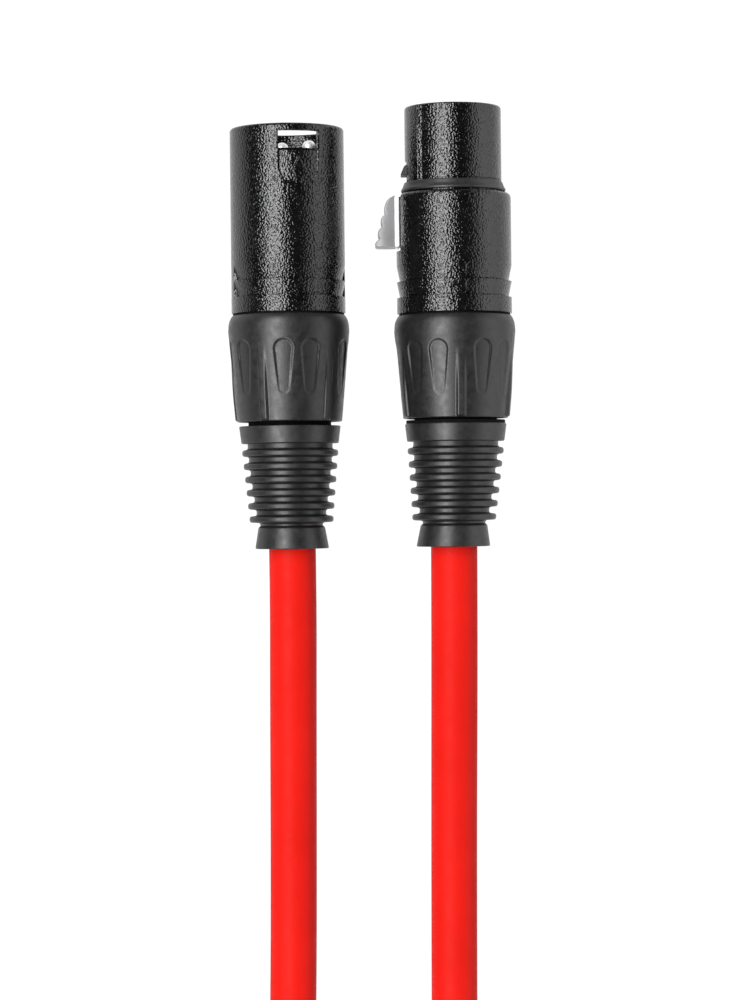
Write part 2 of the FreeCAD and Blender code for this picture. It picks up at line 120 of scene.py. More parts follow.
def new_piece(name, verts, faces, material, body, place=None, sharp=35):
    """A mesh piece from corners in millimetres, smooth-shaded with sharp edges kept."""
    mesh = bpy.data.meshes.new(name)
    mesh.from_pydata([Vector(v) * MM for v in verts], [], faces)
    piece = add_object(name, mesh)
    bm = bmesh.new()
    bm.from_mesh(mesh)
    bmesh.ops.remove_doubles(bm, verts=bm.verts, dist=0.001 * MM)
    bmesh.ops.recalc_face_normals(bm, faces=bm.faces)
    bm.to_mesh(mesh)
    bm.free()
    if place is not None:
        mesh.transform(place)
    mesh.materials.append(material)
    shade(mesh, sharp)
    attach(piece, body)
    return piece


def shade(mesh, sharp):
    for face in mesh.polygons:
        face.use_smooth = True
    mesh.set_sharp_from_angle(angle=math.radians(sharp))


def eased(corners, steps=4):
    """Round a closed outline: each corner is (r, y, rounding), and 0 keeps it sharp."""
    out, count = [], len(corners)
    for k, (r, y, ease) in enumerate(corners):
        here = Vector((r, y))
        if ease == 0:
            out.append((r, y))
            continue
        before, after = Vector(corners[k - 1][:2]), Vector(corners[(k + 1) % count][:2])
        start = here + (before - here).normalized() * ease
        end = here + (after - here).normalized() * ease
        for i in range(steps + 1):
            t = i / steps
            point = start * (1 - t) ** 2 + here * 2 * t * (1 - t) + end * t * t
            out.append((point.x, point.y))
    return out


def rounded_front(outer_r, outer_ease, inner_r, inner_ease, y):
    """Front of a sleeve with both of its corners rounded, from the outside in."""
    corners = [(outer_r, y - 2, 0), (outer_r, y, outer_ease), (inner_r, y, inner_ease), (inner_r, y - 2, 0)]
    return eased(corners, 6)[1:-1]


def even_rows(r, y0, y1, step):
    """Points on a straight cylinder wall, at an even spacing."""
    return [(r, y) for y in even_values(y0, y1, step)]


def even_values(start, end, step):
    count = max(1, round(abs(end - start) / step))
    return [start + (end - start) * k / count for k in range(count + 1)]


def columns(base, zones=()):
    """Angles round a piece: an even step, and finer steps within (centre, half width, step)."""
    angles = set()
    for k in range(round(360 / base)):
        a = math.radians(k * base)
        if all(abs(angle_between(a, centre)) > half for centre, half, _ in zones):
            angles.add(round(a, 5))
    for centre, half, step in zones:
        count = round(2 * half / step)
        for k in range(count + 1):
            angles.add(round((centre - half + 2 * half * k / count) % (2 * math.pi), 5))
    return sorted(angles)


def turned_mesh(loop, angles, push=None):
    """Corners and faces of a closed (r, y) loop carried round the axis; push moves the skin."""
    verts, faces = [], []
    m, n = len(angles), len(loop)
    for r, y in loop:
        for a in angles:
            rr = r + (push(a, r, y) if push else 0.0)
            verts.append((rr * math.sin(a), y, rr * math.cos(a)))
    for i in range(n):
        for j in range(m):
            j2, i2 = (j + 1) % m, (i + 1) % n
            faces.append((i * m + j, i * m + j2, i2 * m + j2, i2 * m + j))
    return verts, faces


def cut(piece, boxes, place):
    """Cut box-shaped openings, given in millimetres along the connector's axes."""
    bm = bmesh.new()
    for lo, hi, turn in boxes:
        made = bmesh.ops.create_cube(bm, size=1)["verts"]
        size = [(b - a) * MM for a, b in zip(lo, hi)]
        centre = [(a + b) / 2 * MM for a, b in zip(lo, hi)]
        move = Matrix.Rotation(turn, 4, "Y") @ Matrix.Translation(centre) @ Matrix.Diagonal((*size, 1))
        bmesh.ops.transform(bm, matrix=place @ move, verts=made)
    mesh = bpy.data.meshes.new("cutter")
    bm.to_mesh(mesh)
    bm.free()
    cutter = add_object("cutter", mesh)
    step = piece.modifiers.new("openings", "BOOLEAN")
    step.operation, step.solver, step.object = "DIFFERENCE", "EXACT", cutter
    apply_modifiers(piece)
    bpy.data.objects.remove(cutter)


def apply_modifiers(piece):
    graph = bpy.context.evaluated_depsgraph_get()
    mesh = bpy.data.meshes.new_from_object(piece.evaluated_get(graph))
    piece.modifiers.clear()
    piece.data = mesh


# ---- materials -------------------------------------------------------------------------
class Surface:
    """A Principled material with a few procedural nodes on object coordinates (metres)."""

    def __init__(self, name, color, roughness, **sockets):
        self.material = bpy.data.materials.new(name)
        self.material.use_nodes = True
        self.nodes, self.links = self.material.node_tree.nodes, self.material.node_tree.links
        self.shader = self.nodes["Principled BSDF"]
        self.shader.inputs["Base Color"].default_value = (*color, 1)
        self.shader.inputs["Roughness"].default_value = roughness
        for socket, value in sockets.items():
            self.shader.inputs[socket.replace("_", " ")].default_value = value
        self.coords = self.nodes.new("ShaderNodeTexCoord").outputs["Object"]

    def noise(self, per_mm, detail=2.0, roughness=0.5, stretch=(1, 1, 1)):
        """Noise with this many features per millimetre."""
        scale = self.nodes.new("ShaderNodeMapping")
        scale.inputs["Scale"].default_value = [s / MM * per_mm for s in stretch]
        noise = self.nodes.new("ShaderNodeTexNoise")
        noise.inputs["Scale"].default_value = 1.0
        noise.inputs["Detail"].default_value = detail
        noise.inputs["Roughness"].default_value = roughness
        self.links.new(self.coords, scale.inputs["Vector"])
        self.links.new(scale.outputs["Vector"], noise.inputs["Vector"])
        return noise.outputs["Fac"]

    def cells(self, per_mm):
        """Distance to the nearest of this many cell centres per millimetre."""
        scale = self.nodes.new("ShaderNodeMapping")
        scale.inputs["Scale"].default_value = [per_mm / MM] * 3
        cells = self.nodes.new("ShaderNodeTexVoronoi")
        cells.inputs["Scale"].default_value = 1.0
        self.links.new(self.coords, scale.inputs["Vector"])
        self.links.new(scale.outputs["Vector"], cells.inputs["Vector"])
        return cells.outputs["Distance"]

    def ranged(self, value, low, high):
        """Spread the middle of a noise over this range."""
        node = self.nodes.new("ShaderNodeMapRange")
        for socket, number in (("From Min", 0.3), ("From Max", 0.7), ("To Min", low), ("To Max", high)):
            node.inputs[socket].default_value = number
        self.links.new(value, node.inputs["Value"])
        return node.outputs["Result"]

    def colors(self, value, dark, light):
        mix = self.nodes.new("ShaderNodeMix")
        mix.data_type = "RGBA"
        mix.inputs["A"].default_value = (*dark, 1)
        mix.inputs["B"].default_value = (*light, 1)
        self.links.new(value, mix.inputs["Factor"])
        self.links.new(mix.outputs["Result"], self.shader.inputs["Base Color"])

    def rough(self, value):
        self.links.new(value, self.shader.inputs["Roughness"])

    def bump(self, height, depth_mm):
        """Relief of this depth, on top of any that is there already."""
        node = self.nodes.new("ShaderNodeBump")
        node.inputs["Distance"].default_value = depth_mm * MM
        node.inputs["Strength"].default_value = 1.0
        self.links.new(height, node.inputs["Height"])
        below = self.shader.inputs["Normal"]
        if below.is_linked:
            self.links.new(below.links[0].from_socket, node.inputs["Normal"])
        self.links.new(node.outputs["Normal"], below)


def powder_coat():
    """Glossy black coat with a fine orange-peel grain that sparkles under a strip light."""
    s = Surface("black_powder_coat", (0.004, 0.004, 0.004), 0.22, IOR=1.5)
    s.colors(s.ranged(s.noise(0.4, 3), 0, 1), (0.001, 0.001, 0.001), (0.003, 0.003, 0.003))
    s.rough(s.ranged(s.noise(1.6, 2), 0.10, 0.17))
    s.bump(s.noise(3.3, 0.6, 0.5), 0.125)
    return s.material


def moulded_plastic(name, tone, roughness, grain_mm, **sockets):
    """Moulded plastic or rubber: fine grain, faint tone and gloss changes."""
    s = Surface(name, (tone, tone, tone * 1.03), roughness, **sockets)
    s.colors(s.ranged(s.noise(0.25, 4), 0, 1), (tone * 0.85,) * 3, (tone * 1.15, tone * 1.15, tone * 1.18))
    s.rough(s.ranged(s.noise(0.9, 3), roughness - 0.06, roughness + 0.08))
    s.bump(s.noise(2.6, 3, 0.6), grain_mm)
    return s.material


def bright_metal(name, color, roughness, stretch=(1, 1, 1)):
    s = Surface(name, color, roughness, Metallic=1.0)
    s.rough(s.ranged(s.noise(1.5, 4, 0.6, stretch), roughness - 0.06, roughness + 0.1))
    s.bump(s.noise(3.0, 2, 0.5, stretch), 0.006)
    return s.material


def cable_jacket():
    """Red PVC: satin, with a faint extrusion grain and small tone changes."""
    s = Surface("red_pvc", (0.50, 0.007, 0.0037), 0.55, Specular_IOR_Level=0.07)
    s.colors(s.ranged(s.noise(0.12, 4), 0, 1), (0.48, 0.0064, 0.0031), (0.52, 0.0078, 0.0041))
    s.rough(s.ranged(s.noise(0.5, 3), 0.5, 0.62))
    s.bump(s.noise(1.4, 3, 0.55), 0.018)
    return s.material


def webbing():
    """Black hook-and-loop cloth: short loops over a coarse weave."""
    s = Surface("tie_webbing", (0.02, 0.02, 0.022), 0.9, Sheen_Weight=0.4, Sheen_Roughness=0.5)
    s.colors(s.ranged(s.noise(2.5, 3), 0, 1), (0.010, 0.010, 0.012), (0.040, 0.040, 0.044))
    s.bump(s.cells(1.6), 0.25)
    s.bump(s.noise(5.0, 3, 0.7), 0.12)
    return s.material


COAT = powder_coat()
NUT_PLASTIC = moulded_plastic("nut_plastic", 0.006, 0.41, 0.014)
BOOT_RUBBER = moulded_plastic("boot_rubber", 0.007, 0.42, 0.010)
# Near-black, dull rubber for the faces in the gaps at each nut's front and rear: painted shade.
PAINTED_GAP_SHADE = moulded_plastic("painted_gap_shade", 0.0012, 0.75, 0.010, Specular_IOR_Level=0.08)
RING_RUBBER = moulded_plastic("ring_rubber", 0.012, 0.42, 0.005)
INSERT_PLASTIC = moulded_plastic("insert_plastic", 0.008, 0.5, 0.010)
CHUCK_PLASTIC = moulded_plastic("chuck_plastic", 0.10, 0.48, 0.012)
LATCH_GREY = moulded_plastic("latch_grey", 0.19, 0.36, 0.010)
LATCH_METAL = bright_metal("latch_metal", (0.85, 0.85, 0.86), 0.5)
CONTACT_SILVER = bright_metal("contact_silver", (0.95, 0.95, 0.96), 0.52, (1, 0.3, 1))
CONTACT_BRASS = bright_metal("contact_brass", (0.80, 0.62, 0.34), 0.22, (1, 0.3, 1))
SPRING_STEEL = bright_metal("spring_steel", (0.58, 0.58, 0.59), 0.3, (0.4, 1, 1))
JACKET = cable_jacket()
WEBBING = webbing()
WIRE_COLORS = {"hot": (0.55, 0.02, 0.02), "cold": (0.75, 0.75, 0.72), "screen": (0.03, 0.03, 0.03)}


# ---- shells ----------------------------------------------------------------------------
def grip_push(a, y, strips):
    """How far the grip wedges sink the skin at this place."""
    if not GRIP_STEP - 0.05 < y < 3 * GRIP_STEP:
        return 0.0
    along = (y - GRIP_STEP) % GRIP_STEP / GRIP_STEP
    depth = GRIP_DEPTH * (1 - along)
    across = min(abs(angle_between(a, s)) for s in strips) * SHELL_R
    return -depth * smooth_step((across - STRIP_HALF) / 0.12 + 0.5)


def grip_rows(r):
    """Rows on the collar and the wedges, close together at the steps."""
    rows = [(r - 0.12, 0.0), (r - 0.03, 0.03), (r, 0.12), (r, 1.4)]
    for tooth in (1, 2, 3):
        y = tooth * GRIP_STEP
        rows += [(r, y - 0.06), (r, y - 0.012), (r, y + 0.012)]
        if tooth < 3:
            rows += [(r, y + GRIP_STEP * k / 6) for k in range(1, 6)]
    return rows


def male_push(a, r, y):
    """Grip wedges, and the recessed shield with its raised arrow under the latch window."""
    if r < SHELL_R - 0.02:
        return 0.0
    strips = (WINDOW_ANGLE - math.pi / 2, WINDOW_ANGLE + math.pi / 2)
    out = grip_push(a, y, strips)
    u = SHELL_R * math.sin(angle_between(a, WINDOW_ANGLE))
    if abs(angle_between(a, WINDOW_ANGLE)) < 0.7 and 19.5 < y < 30.3:
        out += shield_push(u, y)
    return out


def shield_push(u, y):
    """The shield sinks deeper at its left side and fades out at its foot; the arrow stands up in it."""
    corner = (y - SHIELD_FOOT) * 0.4 + (SHIELD_FOOT_HALF - abs(u)) * 0.916
    inside = min(WINDOW_HALF - abs(u), corner, WINDOW_REAR - 0.32 - y)
    depth = SHIELD_DEPTH + 0.30 * min(1.0, max(0.0, -u / 3.3))
    depth *= smooth_step(inside / 0.16 + 0.5) * smooth_step((y - 20.5) / 1.1)
    head = min((ARROW_TIP - y) * 0.55 - abs(u), y - ARROW_NECK)
    shaft = min(0.4 + (y - 20.9) * 0.3 - abs(u), y - ARROW_FOOT, 23.2 - y)
    raised = ARROW_RISE * smooth_step(max(head, shaft) / 0.26 + 0.5)
    edge = max(abs(u) - WINDOW_HALF, WINDOW_REAR - y, y - WINDOW_FRONT)
    return min(depth, raised) - depth - 0.12 * (1 - smooth_step(edge / 0.22))


def male_shell():
    """Tube with the latch window cut through it and the inner key rib."""
    outer = grip_rows(SHELL_R) + even_rows(SHELL_R, 8.2, 20.0, 0.8)
    outer += even_rows(SHELL_R, 20.1, WINDOW_REAR + 0.3, 0.085) + even_rows(SHELL_R, 27.1, 29.1, 0.5)
    outer += even_rows(SHELL_R, 29.3, 30.1, 0.1)
    rim = rounded_front(SHELL_R, 0.6, CAVITY_R, 0.4, SHELL_FRONT)
    inner = [(CAVITY_R, 29.0), (CAVITY_R, 20.0), (CAVITY_R, REAR_BORE_END), (REAR_BORE_R, REAR_BORE_END),
             (REAR_BORE_R, 4.0), (REAR_BORE_R, 0.1), (REAR_BORE_R + 0.1, 0.0)]
    strip = [(WINDOW_ANGLE + s * math.pi / 2, math.radians(9), math.radians(0.75)) for s in (-1, 1)]
    angles = columns(2.4, [(WINDOW_ANGLE, math.radians(24.5), math.radians(0.5))] + strip)
    verts, faces = turned_mesh(outer + rim + inner, angles, male_push)
    shell = new_piece("male_shell_skin", verts, faces, COAT, ROOT, PLACE["male"])
    window = ((-WINDOW_HALF, WINDOW_REAR, 6), (WINDOW_HALF, WINDOW_FRONT, 12), WINDOW_ANGLE)
    cut(shell, [window], PLACE["male"])
    shade(shell.data, 38)
    beam("male_key", -0.6, 0.6, 17.0, 29.3, CAVITY_R - 0.75, CAVITY_R + 0.2,
         WINDOW_ANGLE + KEYWAY_ANGLE, COAT, PLACE["male"])
    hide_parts("male_shell")


def beam(name, x0, x1, y0, y1, z0, z1, turn, material, place, ease=0.15):
    """A bar with eased edges, turned about the connector's axis."""
    bm = bmesh.new()
    bmesh.ops.create_cube(bm, size=1)
    size = Matrix.Diagonal(((x1 - x0) * MM, (y1 - y0) * MM, (z1 - z0) * MM, 1))
    centre = Matrix.Translation(((x0 + x1) / 2 * MM, (y0 + y1) / 2 * MM, (z0 + z1) / 2 * MM))
    bmesh.ops.transform(bm, matrix=centre @ size, verts=bm.verts)
    bmesh.ops.bevel(bm, geom=bm.edges[:], offset=ease * MM, segments=3, affect="EDGES")
    bmesh.ops.transform(bm, matrix=place @ Matrix.Rotation(turn, 4, "Y"), verts=bm.verts)
    mesh = bpy.data.meshes.new(name)
    bm.to_mesh(mesh)
    bm.free()
    mesh.materials.append(material)
    piece = add_object(name, mesh)
    shade(mesh, 35)
    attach(piece, ROOT)
    return piece


def female_push(a, r, y):
    """Grip wedges on the body, and the keyway along the nose, deeper towards one side."""
    if r > BODY_R - 0.02:
        return grip_push(a, y, (STRIP_ANGLE, STRIP_ANGLE + math.pi))
    if y > BODY_FRONT + 1.0 and r > NOSE_BORE_R + 0.35:
        u = NOSE_R * angle_between(a, KEYWAY_ANGLE)
        slope = 0.12 + 0.5 * (u + 0.64) / 1.3
        return -slope * smooth_step((u + 0.66) / 0.08 + 0.5) * smooth_step((0.50 - u) / 0.10 + 0.5)
    return 0.0


def female_shell():
    """Body with a rounded shoulder, a narrower nose, and slots for the latch's pad and hook."""
    outer = grip_rows(BODY_R) + even_rows(BODY_R, 8.3, 18.7, 1.3)
    shoulder = eased([(BODY_R, 18.7, 0), (BODY_R, BODY_FRONT, 0.95), (NOSE_R, BODY_FRONT, 0)], 7)[1:]
    nose = [(NOSE_R, 20.4), (NOSE_R, 21.86), (NOSE_R - 0.22, 21.92), (NOSE_R - 0.22, 22.07), (NOSE_R, 22.12)]
    nose += even_rows(NOSE_R, 22.4, 33.6, 0.8)
    rim = rounded_front(NOSE_R, 0.5, NOSE_BORE_R, 0.3, NOSE_FRONT)
    step = BODY_FRONT + 0.6
    inner = [(NOSE_BORE_R, 28.0), (NOSE_BORE_R, step), (BODY_BORE_R - 0.1, step), (BODY_BORE_R - 0.1, 15.0),
             (BODY_BORE_R - 0.1, REAR_BORE_END), (REAR_BORE_R, REAR_BORE_END), (REAR_BORE_R, 4.0),
             (REAR_BORE_R, 0.1), (REAR_BORE_R + 0.1, 0.0)]
    zones = [(STRIP_ANGLE + turn, math.radians(9), math.radians(0.75)) for turn in (0, math.pi)]
    zones.append((KEYWAY_ANGLE, math.radians(7), math.radians(0.4)))
    verts, faces = turned_mesh(outer + shoulder + nose + rim + inner, columns(2.4, zones), female_push)
    shell = new_piece("female_shell_skin", verts, faces, COAT, ROOT, PLACE["female"])
    pad_slot = ((-12, 10.4, -3.55), (-6.9, BODY_FRONT + 0.01, 3.55), 0)
    hook_slot = ((-12, 21.95, -2.25), (-6.5, 25.5, 2.25), 0)
    cut(shell, [pad_slot, hook_slot], PLACE["female"])
    shade(shell.data, 38)
    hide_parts("female_shell")


def nose_ring():
    """Rubber ring at the foot of the nose, wider at its rear."""
    outline = eased([(NOSE_R + 0.06, 20.25, 0.05), (8.62, 20.25, 0.1), (8.76, 20.55, 0.12),
                     (8.42, 21.1, 0.3), (8.2, 21.8, 0.08), (NOSE_R + 0.06, 21.85, 0.03)])
    verts, faces = turned_mesh(outline, columns(2.0))
    ring = new_piece("nose_ring_skin", verts, faces, RING_RUBBER, ROOT, PLACE["female"])
    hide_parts("nose_ring")


# ---- nuts and boots --------------------------------------------------------------------
def nut_skin_r(y, rear):
    """Radius of the tapering grip."""
    along = (NUT_TAPER_FROM - y) / (NUT_TAPER_FROM - rear - 0.3)
    return NUT_R + (NUT_REAR_R - NUT_R) * max(0.0, along)


def drop_distance(u, y):
    """Distance inside the outline of a drop: a round head and a narrower tail."""
    head_y, head_r, tail_y, tail_r = -6.2, 1.62, -12.6, 0.95
    along = min(1.0, max(0.0, (head_y - y) / (head_y - tail_y)))
    centre = head_y + (tail_y - head_y) * along
    return head_r + (tail_r - head_r) * along - math.hypot(u, y - centre)


def nut_push(rib_angle, rear):
    """The stub's thread, and the grip's five ribs with a pair of hollows between them."""
    def push(a, r, y):
        if r < STUB_R + 0.1:
            if r > STUB_R - 0.02 and 0.5 < y < STUB_FRONT - 0.1:
                phase = (y / PITCH - a / (2 * math.pi)) % 1.0
                ridge = smooth_step(1 - abs(phase - 0.5) * 2.4)
                fade = smooth_step((y - 0.5) / 0.6) * smooth_step((STUB_FRONT - 0.1 - y) / 0.5)
                return -THREAD_DEPTH * (1 - ridge) * fade
            return 0.0
        off = angle_between(a, rib_angle) % RIBS_STEP
        off = min(off, RIBS_STEP - off)
        height = smooth_step((-4.6 - y) / 10.0) * RIB_HEIGHT * smooth_step((y - rear - 0.05) / 0.35)
        rib = height * smooth_step((0.68 - off * r) / 0.36 + 0.5)
        to_drop = abs(RIBS_STEP / 2 - off) - math.radians(13.5)
        depth = DROP_DEPTH - 0.18 * min(1.0, max(0.0, (-7.5 - y) / 5.0))
        return rib - depth * smooth_step(drop_distance(to_drop * r, y) / 0.26 + 0.35)
    return push


def clamping_nut(side):
    """Grip with a tapering skin, and the threaded stub that goes into the shell."""
    rear_y = NUT_REAR[side]
    front = eased([(STUB_R, -0.04, 0), (9.25, -0.04, 0), (9.25, NUT_FRONT, 0), (9.4, NUT_FRONT, 0.1),
                   (10.0, -1.3, 0.8), (NUT_R, NUT_TAPER_FROM, 0)], 8)[:-1]
    grip = [(nut_skin_r(y, rear_y), y) for y in even_values(NUT_TAPER_FROM, rear_y + 0.34, 0.15)]
    rear = [(NUT_REAR_R, rear_y + 0.22), (NUT_REAR_R - 0.05, rear_y + 0.08),
            (NUT_REAR_R - 0.2, rear_y), (NUT_NECK_R, rear_y)]
    inside = [(NUT_NECK_R, -16.3), (NUT_BORE_R, -16.3), (NUT_BORE_R, -6.0), (NUT_BORE_R, 0.0),
              (NUT_BORE_R, STUB_FRONT), (STUB_R - 0.3, STUB_FRONT)]
    stub = even_rows(STUB_R, STUB_FRONT - 0.25, 0.3, 0.14)
    verts, faces = turned_mesh(front + grip + rear + inside + stub, columns(0.9),
                               nut_push(math.radians(RIB_ANGLE[side]), rear_y))
    nut = new_piece(side + "_nut_skin", verts, faces, NUT_PLASTIC, side + "_nut_body", PLACE[side], 50)
    # The nut's front face against the shell is drawn near-black: painted shade in the gap.
    paint_gap_shade(nut, side, lambda r, y: NUT_FRONT - 0.01 < y < 0.45 and r < 9.3)
    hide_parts(side + "_nut")


def paint_gap_shade(piece, side, chosen):
    """Paint the chosen faces near-black and dull, chosen by radius and place along the axis: painted shade in a
    gap between parts.
    """
    piece.data.materials.append(PAINTED_GAP_SHADE)
    back_to_axes = PLACE[side].inverted()
    for face in piece.data.polygons:
        place = back_to_axes @ face.center / MM
        if chosen(math.hypot(place.x, place.z), place.y):
            face.material_index = 1


def strain_relief(side):
    """Flange held in the nut, collar, six thinning ribs and a foot, bent a little with the cable."""
    rib_radii = [8.0, 7.8, 7.6, 7.4, 7.2, 7.0]
    core_radii = [7.08, 6.9, 6.65, 6.4, 6.1, 5.8, 5.2]
    corners = [(BOOT_BORE_R, BOOT_END, 0.12), (6.15, BOOT_END, 0.25), (5.55, -35.5, 0.3), (5.2, -35.35, 0.2)]
    for k in reversed(range(6)):
        y, r = -23.2 - 2.2 * k, rib_radii[k]
        corners += [(core_radii[k + 1], y - 0.62, 0.38), (r, y - 0.5, 0.42), (r, y + 0.5, 0.42),
                    (core_radii[k], y + 0.62, 0.38)]
    neck_r = NECK_R[side]
    collar = [(core_radii[0], -21.6, 0.15), (8.1, -21.6, 0.2), (8.47, -18.7, 0.2), (neck_r, -18.7, 0.05)]
    neck = [(neck_r, -17.95, 0.05), (6.9, -17.94, 0.02), (6.9, -16.0, 0.1)]
    flange = [(7.35, -16.0, 0.1), (7.35, -13.0, 0.3), (5.6, -13.0, 0.1), (BOOT_BORE_R, -14.6, 0.1)]
    corners += collar + neck + flange
    verts, faces = turned_mesh(eased(corners, 5), columns(2.0))
    shift, bend = BOOT_SHIFT[side], BOOT_BEND[side]
    verts = [(x + bend * min(1.0, max(0.0, (-19.5 - y) / 19.6)) ** 1.4,
              y + shift * min(1.0, max(0.0, (-17.0 - y) / 1.5)), z) for x, y, z in verts]
    boot = new_piece(side + "_boot_skin", verts, faces, BOOT_RUBBER, side + "_boot_body", PLACE[side], 50)
    # The neck between the nut's rear and the collar is drawn near-black: painted shade in the gap under the nut.
    paint_gap_shade(boot, side, lambda r, y: -18.65 + shift < y < -16.0 and r > 6.85)
    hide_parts(side + "_boot")


def cable_end(side):
    """The cable's end in the connector, cut square in front; the free cable takes over inside the boot."""
    _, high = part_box(side + "_cable_end")
    front = (PLACE[side].inverted() @ Vector(high)).y / MM
    r = CABLE_D / 2
    outline = [(0.0, CABLE_END_REAR), (r, CABLE_END_REAR), (r, -30.0),
               (r, front - 0.15), (r - 0.15, front), (0.0, front)]
    verts, faces = turned_mesh(outline, columns(6.0))
    end = new_piece(side + "_cable_end_jacket", verts, faces, JACKET, ROOT, PLACE[side])
    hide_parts(side + "_cable_end")


# ---- contacts and latch ----------------------------------------------------------------
def male_pins():
    """Pins with a round tip, a collar at the insert and an open solder cup."""
    for number, turn in enumerate((-90, 90, 180), 1):
        a = WINDOW_ANGLE + math.radians(turn)
        tip = [(PIN_R * math.sin(t), PIN_TIP - PIN_R + PIN_R * math.cos(t)) for t in
               (math.pi / 2 * k / 10 for k in range(10, 0, -1))]
        loop = [(0.0, 6.2), (1.0, 6.2), (1.0, 2.8), (1.45, 2.8), (1.5, 2.9), (1.5, PIN_REAR), (1.4, PIN_REAR),
                (1.4, INSERT_FACE), (PIN_R, INSERT_FACE), (PIN_R, 22.0)] + tip + [(0.0, PIN_TIP)]
        verts, faces = turned_mesh(loop, columns(7.5))
        x, z = PIN_CIRCLE_R * math.sin(a), PIN_CIRCLE_R * math.cos(a)
        verts = [(vx + x, vy, vz + z) for vx, vy, vz in verts]
        pin = new_piece(f"male_pin_{number}_turned", verts, faces, CONTACT_SILVER, ROOT, PLACE["male"], 40)
        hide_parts(f"male_pin_{number}")


def slab(name, outline, half, ease, material, body, place, segments=3):
    """An (x, y) outline extruded to both sides of z = 0, with eased edges."""
    bm = bmesh.new()
    low = [bm.verts.new((x * MM, y * MM, -half * MM)) for x, y in outline]
    face = bm.faces.new(low)
    up = bmesh.ops.extrude_face_region(bm, geom=[face])["geom"]
    tops = [v for v in up if isinstance(v, bmesh.types.BMVert)]
    bmesh.ops.translate(bm, vec=(0, 0, 2 * half * MM), verts=tops)
    bmesh.ops.recalc_face_normals(bm, faces=bm.faces)
    rims = [e for e in bm.edges if abs(e.verts[0].co.z - e.verts[1].co.z) < 1e-7]
    bmesh.ops.bevel(bm, geom=rims, offset=ease * MM, segments=segments, affect="EDGES")
    mesh = bpy.data.meshes.new(name)
    bm.to_mesh(mesh)
    bm.free()
    mesh.transform(place)
    mesh.materials.append(material)
    piece = add_object(name, mesh)
    shade(mesh, 40)
    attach(piece, body)
    return piece


def flowing(points, steps=4):
    """A smooth line through all the points."""
    out = []
    for k in range(len(points) - 1):
        p0, p1, p2, p3 = (Vector(points[min(max(k + i, 0), len(points) - 1)]) for i in (-1, 0, 1, 2))
        for i in range(steps):
            t = i / steps
            out.append(0.5 * (2 * p1 + (p2 - p0) * t + (2 * p0 - 5 * p1 + 4 * p2 - p3) * t * t
                              + (3 * p1 - p0 - 3 * p2 + p3) * t ** 3))
    return out + [Vector(points[-1])]


PAD_CREST = [(0.35, 19.55), (1.1, 19.15), (1.65, 18.5), (1.97, 17.6), (1.98, 17.0), (1.8, 16.5), (2.25, 16.15),
             (2.55, 15.6), (2.57, 15.0), (2.38, 14.4), (2.78, 14.05), (3.05, 13.5), (3.05, 12.9), (2.8, 12.4),
             (3.2, 12.1), (3.52, 11.65), (3.5, 11.3), (3.2, 11.15)]     # (rise above the shell, y)
PAD_FOOT, PAD_HALF = -9.72, 3.15


def latch_pad():
    """Stepped thumb pad, rounded over its outer edge."""
    verts, faces = [], []
    crest = flowing(PAD_CREST)
    edge_r = 0.3
    for rise, y in crest:
        outer = -BODY_R - rise
        top = []
        for k in range(9):
            x = PAD_FOOT + (outer + edge_r - PAD_FOOT) * k / 8
            top.append((x, PAD_HALF - 0.95 * ((PAD_FOOT - x) / 3.2 - 0.5) ** 2))
        edge_x, edge_z = outer + edge_r, top[-1][1] - edge_r
        top += [(edge_x - edge_r * math.sin(t), edge_z + edge_r * math.cos(t)) for t in (0.4, 0.8, 1.2, 1.57)]
        loop = top + [(x, -z) for x, z in reversed(top)]
        verts += [(x, y, z) for x, z in loop]
    n = len(loop)
    for i in range(len(crest) - 1):
        for j in range(n):
            j2 = (j + 1) % n
            faces.append((i * n + j, i * n + j2, (i + 1) * n + j2, (i + 1) * n + j))
    faces.append(tuple(range(n)))
    faces.append(tuple((len(crest) - 1) * n + j for j in range(n)))
    return new_piece("latch_pad", verts, faces, LATCH_GREY, "latch_body", PLACE["female"], 45)


def latch():
    """Thumb lever: a bright plate with the pad on it, and an arm with a hook and a pivot barrel."""
    pad = latch_pad()
    plate = [(-9.12, 11.1), (-9.75, 11.1), (-9.8, 11.5), (-9.8, 19.2), (-9.7, 19.5), (-9.12, 19.6)]
    slab("latch_plate", plate, 3.25, 0.12, LATCH_METAL, "latch_body", PLACE["female"])
    core = [(-6.4, 11.3), (-9.2, 11.3), (-9.2, 19.4), (-6.4, 19.4)]
    slab("latch_core", core, 2.4, 0.15, INSERT_PLASTIC, "latch_body", PLACE["female"])
    arm = [(-5.2, 11.3), (-6.5, 11.1), (-6.4, 23.0), (-8.65, 23.0), (-8.75, 23.15), (-8.6, 23.6), (-8.2, 24.5),
           (-7.6, 25.0), (-6.4, 25.2), (-6.4, 29.6), (-6.55, 31.0), (-6.3, 31.6), (-5.8, 31.75), (-5.3, 31.6),
           (-5.05, 31.0), (-5.2, 29.6)]
    slab("latch_arm", arm, 1.9, 0.12, INSERT_PLASTIC, "latch_body", PLACE["female"])
    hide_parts("latch_lever")


def latch_spring():
    """Leaf that the lever presses flat against the insert's channel."""
    leaf = [(-2.6, 21.2), (-2.6, 17.6), (-4.8, 12.9), (-4.6, 12.3), (-4.85, 12.25), (-5.15, 12.9), (-2.85, 17.7),
            (-2.85, 21.2)]
    spring = slab("latch_leaf", leaf, 1.6, 0.03, SPRING_STEEL, ROOT, PLACE["female"], 1)
    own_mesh(spring)
    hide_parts("latch_spring")


